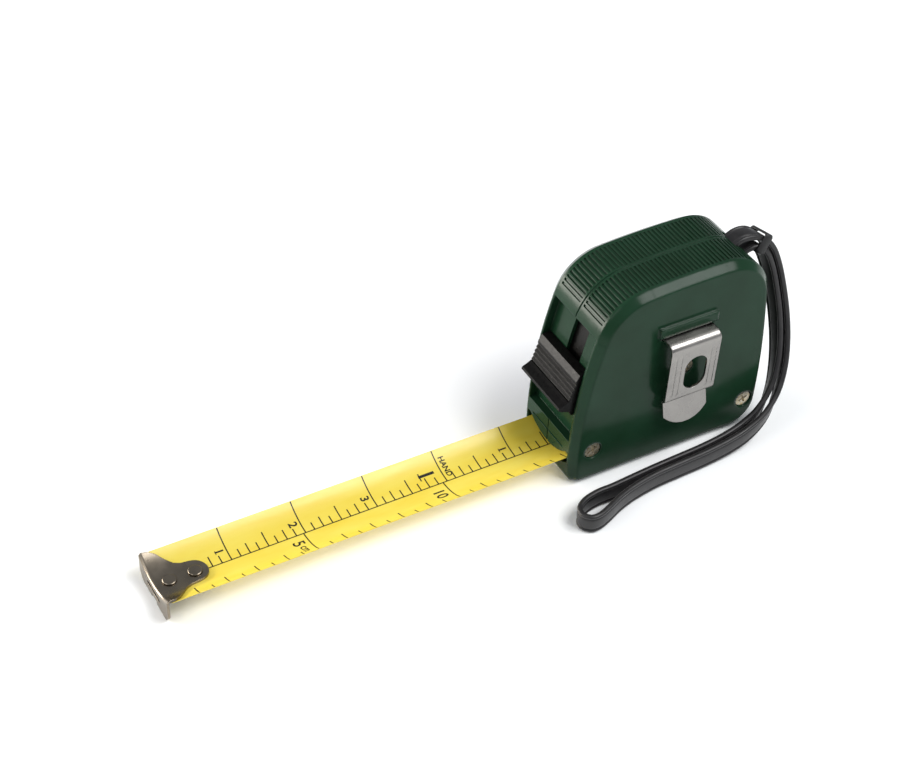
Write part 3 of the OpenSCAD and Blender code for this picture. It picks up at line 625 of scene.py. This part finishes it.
def make_blade():
    xs = np.linspace(BLADE_INSIDE_X, BLADE_TIP_X, 100)
    across = np.linspace(-EDGE, EDGE, 41)
    grids = [[[blade_point(x, s, lift) for s in across] for x in xs]
             for lift in (BLADE_THICK / 2, -BLADE_THICK / 2)]
    points, faces = sheet_mesh(*grids)
    blade = piece("blade_band", points, faces, blade_yellow, crisp=40)
    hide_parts("blade_strip", "blade_end")
    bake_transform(blade)


INK_LIFT = BLADE_THICK / 2 + 0.025


def ink_bar(store, x0, x1, s0, s1, across_step=0.8, along_step=2.0):
    """A printed bar on the blade, from x0 to x1 along it and s0 to s1 across it."""
    points, faces = store
    n = max(1, math.ceil(abs(s1 - s0) / across_step))
    m = max(1, math.ceil(abs(x1 - x0) / along_step))
    base = len(points)
    for i in range(m + 1):
        for j in range(n + 1):
            points.append(blade_point(x0 + (x1 - x0) * i / m, s0 + (s1 - s0) * j / n, INK_LIFT))
    for i in range(m):
        for j in range(n):
            a = base + i * (n + 1) + j
            faces.append((a, a + 1, a + n + 2, a + n + 1))


def glyphs(text, size, bold=0.0):
    """Flat points and faces of lettering, with its middle at the origin; size is the height of a digit."""
    data = bpy.data.curves.new("glyphs", "FONT")
    data.body = text
    data.size = size / 0.73
    data.offset = bold
    data.align_x, data.align_y = "CENTER", "BOTTOM_BASELINE"
    obj = bpy.data.objects.new("glyphs", data)
    bpy.context.scene.collection.objects.link(obj)
    bpy.context.view_layer.update()
    mesh = bpy.data.meshes.new_from_object(obj.evaluated_get(bpy.context.evaluated_depsgraph_get()))
    points = np.array([v.co[:2] for v in mesh.vertices])
    points[:, 1] -= size / 2
    faces = [tuple(f.vertices) for f in mesh.polygons]
    bpy.data.objects.remove(obj)
    bpy.data.meshes.remove(mesh)
    return points, faces


def ink_text(store, text, x, s, size, bold=0.0):
    """Lettering on the blade: its upright points to the case, and it reads towards the +Y edge."""
    points, faces = store
    base = len(points)
    flat, shapes = glyphs(text, size, bold)
    points += [blade_point(x - b, s + a, INK_LIFT) for a, b in flat]
    faces += [tuple(base + k for k in f) for f in shapes]
    if text == "1":      # slab foot of the figure one
        ink_bar(store, x + size / 2 - 0.07 * size, x + size / 2, s - 0.22 * size, s + 0.3 * size)


LINE = 0.4                          # width of a printed line
SCALE_END_X = BLADE_INSIDE_X + 0.3   # the print runs on inside the case, so none is missing at full pull
EIGHTH, QUARTER, HALF_INCH = 3.2, 4.2, 6.0
HALF_CM, WHOLE_CM = 3.3, 5.4
HAND = 4 * INCH                      # the hand, a unit of four inches
EDGE_MARGIN = 0.1                    # from the end of a full line to the blade's edge
HOOK_COVERS = 16.6                   # the centre line starts here, under the tongue's lobe


def make_scale():
    """Inches and hands on the far half, centimetres on the near half, from a line along the middle."""
    store = ([], [])

    def at(distance):
        return SCALE_ZERO_X - distance

    length = SCALE_ZERO_X - SCALE_END_X
    ink_bar(store, SCALE_END_X, at(HOOK_COVERS), -LINE / 2, LINE / 2)
    for k in range(1, int(length / (INCH / 8)) + 1):
        x = at(k * INCH / 8)
        if k % 8 == 0:
            tick = EDGE - EDGE_MARGIN
        elif k < 5:
            continue
        else:
            tick = HALF_INCH if k % 4 == 0 else QUARTER if k % 2 == 0 else EIGHTH
        ink_bar(store, x - LINE / 2, x + LINE / 2, 0, -tick)
    for k in range(1, int(length / 5) + 1):
        x = at(k * 5)
        if k % 10 == 0:
            ink_bar(store, x - LINE / 2, x + LINE / 2, 0, EDGE - EDGE_MARGIN)
        elif k > 1:
            tick = WHOLE_CM if k % 2 == 0 else HALF_CM
            ink_bar(store, x - LINE / 2, x + LINE / 2, EDGE - EDGE_MARGIN - tick, EDGE - EDGE_MARGIN)
    for inches, figure in ((1, "1"), (2, "2"), (3, "3"), (5, "1")):     # counted anew after each hand
        ink_text(store, figure, at(inches * INCH - 2.3), -4.6, 2.9, 0.09)
    ink_text(store, "1", at(HAND - 5.0), -5.2, 5.8, 0.12)
    ink_text(store, "HAND", at(HAND + 2.2), -5.7, 2.0, 0.07)
    ink_text(store, "5", at(50 - 3.2), 3.9, 4.0, 0.07)
    ink_text(store, "cm", at(50 - 2.6), 8.2, 2.9, 0.05)
    ink_text(store, "10", at(100 - 3.4), 5.1, 4.0, 0.09)
    scale = piece("scale_print", store[0], store[1], scale_ink, crisp=180)
    for polygon in scale.data.polygons:     # the print faces up, whatever way each shape was wound
        if polygon.normal.z < 0:
            polygon.flip()
    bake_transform(scale)


make_blade()
make_scale()

# ---------------------------------------------------------------- hook with its rivets

TONGUE_LONG = 17.4
# distance behind the plate and half width of the tongue there
TONGUE_OUTLINE = [(0, 12.0), (2.0, 11.7), (4.2, 10.4), (6.2, 8.0), (8.2, 5.9), (10.2, 5.0), (12.4, 4.75),
                  (14.6, 4.55)]
NECK_ENDS, LOBE_R = 13.2, 4.6       # the round lobe takes over from the neck here
HOOK_HALF = 12.0
HOOK_SEAT = 0.06                    # the tongue slides just over the lacquer and its print
HOOK_BEND = 1.1                     # outer radius of the bend between tongue and plate
CORNER_IN, CORNER_UP = 3.6, 4.4     # how far the plate's lower corners are cut back
SLOT_HALF, SLOT_LOW, SLOT_HIGH, SLOT_R = 5.2, 3.4, 4.9, 0.6
FOOT_NOTCH = [(-2.6, -1), (2.6, -1), (1.7, 1.5), (-1.7, 1.5)]


def tongue_half_width(back):
    """Half width of the hook's tongue at a distance behind the plate: shoulders, a neck and a round lobe."""
    if back <= NECK_ENDS:
        return float(np.interp(back, *zip(*TONGUE_OUTLINE)))
    return math.sqrt(max(LOBE_R**2 - max(back - (TONGUE_LONG - LOBE_R), 0) ** 2, 0.01))


def make_hook():
    """One bent sheet: tongue along the blade, rounded bend, and the plate with its slot and foot notch."""
    foot_z = hook_low[2]
    rows_top, rows_bottom = [], []
    under = BLADE_THICK / 2 + HOOK_SEAT
    columns = np.linspace(-1, 1, 41)
    backs = np.concatenate([TONGUE_LONG - LOBE_R * (1 - np.cos(np.linspace(0.02, math.pi / 2, 12))),
                            np.linspace(TONGUE_LONG - 4.9, 0.3, 34)])
    for back in backs:
        half = tongue_half_width(back)
        for rows, lift in ((rows_top, under + HOOK_SHEET), (rows_bottom, under)):
            rows.append([blade_point(SCALE_ZERO_X - back, BLADE_R * math.asin(c * half / BLADE_R), lift)
                         for c in columns])
    face_x = SCALE_ZERO_X + HOOK_SHEET

    def bend_point(c, a, r):
        """Round the bend: a goes from 0, on the tongue, to a quarter turn, down the plate."""
        x, y, z = blade_point(face_x - HOOK_BEND, BLADE_R * math.asin(c * HOOK_HALF / BLADE_R),
                              under + HOOK_SHEET)
        return (x + r * math.sin(a), y, z - HOOK_BEND + r * math.cos(a))

    for a in np.linspace(0.15, math.pi / 2, 8):
        rows_top.append([bend_point(c, a, HOOK_BEND) for c in columns])
        rows_bottom.append([bend_point(c, a, HOOK_BEND - HOOK_SHEET) for c in columns])
    starts_top, starts_bottom = rows_top[-1], rows_bottom[-1]
    for k in np.linspace(0, 1, 14)[1:]:
        line_top, line_bottom = [], []
        for c, p, q in zip(columns, starts_top, starts_bottom):
            corner = max(abs(p[1]) - (HOOK_HALF - CORNER_IN), 0) / CORNER_IN
            end_z = foot_z + CORNER_UP * corner**2.2
            y = p[1]
            line_top.append((face_x, y, p[2] + (end_z - p[2]) * k))
            line_bottom.append((face_x - HOOK_SHEET, y, q[2] + (end_z - q[2]) * k))
        rows_top.append(line_top)
        rows_bottom.append(line_bottom)
    points, faces = sheet_mesh(rows_top, rows_bottom)
    hook = piece("end_hook", points, faces, hook_nickel, crisp=35)

    def slot_outline(half_y, z0, z1, r):
        """An oblong with its corners cut off."""
        return [(-half_y + r, z0), (half_y - r, z0), (half_y, z0 + r), (half_y, z1 - r), (half_y - r, z1),
                (-half_y + r, z1), (-half_y, z1 - r), (-half_y, z0 + r)]

    def through_plate(a, b, depth):
        return (depth, a, b)

    slot = slot_outline(SLOT_HALF, SLOT_LOW, SLOT_HIGH, SLOT_R)
    cut(hook, *(prism(outline, through_plate, SCALE_ZERO_X - 2, SCALE_ZERO_X + 3)
                for outline in (slot, FOOT_NOTCH)))
    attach(hook, "end_hook")
    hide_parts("hook")


def turned(profile, centre, steps=40):
    """A turned solid about a vertical axis; its profile is (radius, height), bottom middle to top middle."""
    rings, points, faces = [], [], []
    for r, z in profile:
        if r == 0:
            rings.append([len(points)])
            points.append((centre[0], centre[1], centre[2] + z))
        else:
            rings.append(list(range(len(points), len(points) + steps)))
            angles = [2 * math.pi * k / steps for k in range(steps)]
            points += [(centre[0] + r * math.cos(a), centre[1] + r * math.sin(a), centre[2] + z)
                       for a in angles]
    for a, b in zip(rings, rings[1:]):
        for k in range(steps):
            m = (k + 1) % steps
            ring = [a[k % len(a)], a[m % len(a)], b[m % len(b)], b[k % len(b)]]
            faces.append(tuple(dict.fromkeys(ring)))
    return points, faces


def make_rivets():
    """Rivets set down flat on the tongue, each with a rounded rim and a faint dish."""
    for name, node in (("rivet_front", "rivet_near"), ("rivet_back", "rivet_far")):
        low, high = node_box(node)
        x = (low[0] + high[0]) / 2
        seat = BLADE_MID_Z + BLADE_THICK / 2 + HOOK_SEAT + HOOK_SHEET
        foot = low[2] - seat
        profile = [(0, foot), (1.7, foot), (2.1, foot + 0.25), (2.1, foot + 0.5), (1.15, foot + 0.55),
                   (1.15, 0.05), (2.15, 0.12), (2.32, 0.3), (2.28, 0.48), (2.1, 0.62), (1.85, 0.68),
                   (1.3, 0.6), (0, 0.58)]
        points, faces = turned(profile, (x, 0, seat))
        rivet = piece(name, points, faces, hook_nickel, crisp=50)
        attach(rivet, "blade_tip")
        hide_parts(node)


make_hook()
make_rivets()

# ---------------------------------------------------------------- belt clip

clip_low, clip_high = node_box("belt_clip")
CLIP_MIDDLE_X = (clip_low[0] + clip_high[0]) / 2
CLIP_HALF = (clip_high[0] - clip_low[0]) / 2
CLIP_SHEET = 0.8
PANEL_Y = HALF_THICK                # the clip-side panel, as far out as the label-side one
# side view of the clip as (stand-off from the panel, height, bend radius)
CLIP_PROFILE = [
    (-0.35, 55.1, 0), (-0.35, 51.6, 0.8), (5.83, 51.15, 2.2), (4.6, 28.4, 1.0), (2.1, 26.2, 1.4),
    (4.2, 16.4, 0)]
CLIP_RIDGES = (-7.7, -5.7, 5.5, 7.5)          # middles of the pressed ridges, across the clip
RIDGE_RISE, RIDGE_HALF = 0.3, 0.62
RIDGE_LOW, RIDGE_HIGH, RIDGE_FADE = 30.0, 47.8, 1.2
TIP_NARROWS, TIP_FADE = 27.6, 1.5             # the tip is a millimetre narrower a side below this height
EDGE_BREAK, EDGE_FROM = 0.12, 0.972           # the sheet's edge is eased over the last part of its width
HOLE_R, HOLE_HALF, HOLE_ABOVE_SCREW = 4.2, 2.6, 2
screw_low, screw_high = node_box("screw_centre")


def make_clip():
    path = even_path(rounded_path(CLIP_PROFILE, 10), 0.6)
    tip_r = CLIP_HALF * 1.15
    tip_z = path[-1][1] - 0.1 + tip_r
    columns = np.linspace(-1, 1, 77)
    top, bottom = [], []
    for i, (y, z) in enumerate(path):
        t = unit(path[min(i + 1, len(path) - 1)] - path[max(i - 1, 0)])
        n = np.array([-t[1], t[0]])
        half = CLIP_HALF - share((TIP_NARROWS - z) / TIP_FADE)
        if z < tip_z:
            half = min(half, math.sqrt(max(tip_r**2 - (tip_z - z) ** 2, 0.4)))
        along = share((z - RIDGE_LOW) / RIDGE_FADE) * share((RIDGE_HIGH - z) / RIDGE_FADE) if y > 3 else 0
        row_top, row_bottom = [], []
        for c in columns:
            x = c * half
            rise = along * sum(RIDGE_RISE * math.cos(math.pi / 2 * min(abs(x - r) / RIDGE_HALF, 1)) ** 2
                               for r in CLIP_RIDGES)
            edge = EDGE_BREAK * share((abs(c) - EDGE_FROM) / (1 - EDGE_FROM))
            for row, lift in ((row_top, CLIP_SHEET / 2 + rise - edge),
                              (row_bottom, -CLIP_SHEET / 2 + rise * 0.5 + edge)):
                row.append((CLIP_MIDDLE_X + x, PANEL_Y + y + n[0] * lift, z + n[1] * lift))
        top.append(row_top)
        bottom.append(row_bottom)
    points, faces = sheet_mesh(top, bottom)
    clip = piece("belt_clip_sheet", points, faces, clip_zinc, crisp=35)
    centre_x = (screw_low[0] + screw_high[0]) / 2
    centre_z = (screw_low[2] + screw_high[2]) / 2 + HOLE_ABOVE_SCREW
    outline = [(centre_x + HOLE_R * math.cos(a), centre_z + HOLE_HALF + HOLE_R * math.sin(a))
               for a in np.linspace(0, math.pi, 25)]
    outline += [(centre_x + HOLE_R * math.cos(a), centre_z - HOLE_HALF + HOLE_R * math.sin(a))
                for a in np.linspace(math.pi, 2 * math.pi, 25)]
    cut(clip, prism(outline, lambda a, b, depth: (a, depth, b), PANEL_Y + 2.2, PANEL_Y + 12))
    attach(clip, "clip")
    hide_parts("belt_clip")


make_clip()

# ---------------------------------------------------------------- CAD pieces that keep their own shape

FINISHES = {
    case_green: ("shell_label", "shell_clip"),
    label_navy: ("label",),
    screw_zinc: ("screw_front_side", "screw_rear_side", "screw_centre"),
    post_steel: ("arbor", "strap_pin", "blade_backing"),
    guide_black: ("brake_pad", "blade_guide"),
    bumper_rubber: ("mouth_bumper",),
    drum_pom: ("drum", "drum_cover"),
    blade_yellow: ("blade_coil",),
    spring_steel: ("blade_anchor", "mainspring"),
    lock_black: ("lock_button", "lock_slider"),
}
for material, names in FINISHES.items():
    for name in names:
        for material_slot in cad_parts[name].material_slots:
            material_slot.material = material

# ---------------------------------------------------------------- print on the label

LABEL_FACE_Y = label_low[1] - 0.03
LABEL_MIDDLE_X = (label_low[0] + label_high[0]) / 2


def label_text(store, text, x, z, size, bold=0.0):
    points, faces = store
    base = len(points)
    flat, shapes = glyphs(text, size, bold)
    points += [(x + a, LABEL_FACE_Y, z + b) for a, b in flat]
    faces += [tuple(base + k for k in f) for f in shapes]


def label_bar(store, x0, x1, z0, z1):
    points, faces = store
    base = len(points)
    points += [(x0, LABEL_FACE_Y, z0), (x1, LABEL_FACE_Y, z0), (x1, LABEL_FACE_Y, z1), (x0, LABEL_FACE_Y, z1)]
    faces.append((base, base + 1, base + 2, base + 3))


def make_label_print():
    """Plain words of size only: the blade's length, a red rule and a small row of scale ticks."""
    white, red = ([], []), ([], [])
    label_text(white, "5 m", LABEL_MIDDLE_X + 1, 43, 10, bold=0.15)
    label_bar(red, LABEL_MIDDLE_X - 16, LABEL_MIDDLE_X + 18, 34.2, 35.0)
    label_text(white, "16 ft", LABEL_MIDDLE_X + 1, 29.4, 4.4)
    for k in range(25):
        x = LABEL_MIDDLE_X - 15 + k * 1.333
        label_bar(white, x, x + 0.25, 20, 20 + (4.2 if k % 8 == 0 else 3.0 if k % 4 == 0 else 1.9))
    for name, store, ink in (("label_print_white", white, label_white), ("label_print_red", red, label_red)):
        print_piece = piece(name, store[0], store[1], ink, crisp=180)
        for polygon in print_piece.data.polygons:
            if polygon.normal.y > 0:
                polygon.flip()
        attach(print_piece, "case")


make_label_print()

# ---------------------------------------------------------------- floor and lights


FLOOR_HALF = 3.0                    # metres from the middle of the floor to its edges
LIT_POINT = Vector((0.03, 0, 0.03))  # metres; every light faces this point of the object


def make_floor():
    material, tree, shader, xyz = start_material("floor_paper_white", IOR=1.45)
    shader.inputs["Specular IOR Level"].default_value = 0.2
    link(tree, shader,
         colour=blend_colours(tree, spread(tree, grains(tree, xyz, 60, 2), 0, 1), "fafbfb", "fcfdfd"),
         roughness=spread(tree, grains(tree, xyz, 20, 2), 0.6, 0.7))
    mesh = bpy.data.meshes.new("floor")
    corners = [(a * FLOOR_HALF, b * FLOOR_HALF, 0) for a, b in ((-1, -1), (1, -1), (1, 1), (-1, 1))]
    mesh.from_pydata(corners, [], [(0, 1, 2, 3)])
    mesh.materials.append(material)
    floor = bpy.data.objects.new("floor", mesh)
    bpy.context.scene.collection.objects.link(floor)


def soft_box(name, towards, distance, wide, high, watts, tint="ffffff"):
    """A soft area light in a direction from the object, turned to face it."""
    data = bpy.data.lights.new(name, "AREA")
    data.shape, data.size, data.size_y, data.energy = "RECTANGLE", wide, high, watts
    data.color = linear(tint)[:3]
    light = bpy.data.objects.new(name, data)
    direction = Vector(towards).normalized()
    light.location = LIT_POINT + direction * distance
    light.rotation_euler = direction.to_track_quat("Z", "Y").to_euler()
    bpy.context.scene.collection.objects.link(light)


def make_studio():
    world = bpy.data.worlds.new("studio")
    world.use_nodes = True
    world.node_tree.nodes["Background"].inputs["Color"].default_value = linear("e6ebf2")
    world.node_tree.nodes["Background"].inputs["Strength"].default_value = 0.4
    bpy.context.scene.world = world
    soft_box("softbox_left", (0.70, -0.64, 0.17), 1.1, 0.9, 0.34, 15, "fffaf2")
    soft_box("softbox_top", (-0.44, 0.47, 0.95), 1.2, 0.8, 0.6, 13)
    soft_box("softbox_fill", (0.9, 0.05, 0.9), 1.3, 0.6, 0.6, 3)
    bpy.context.scene.view_settings.view_transform = "Standard"


make_floor()
make_studio()
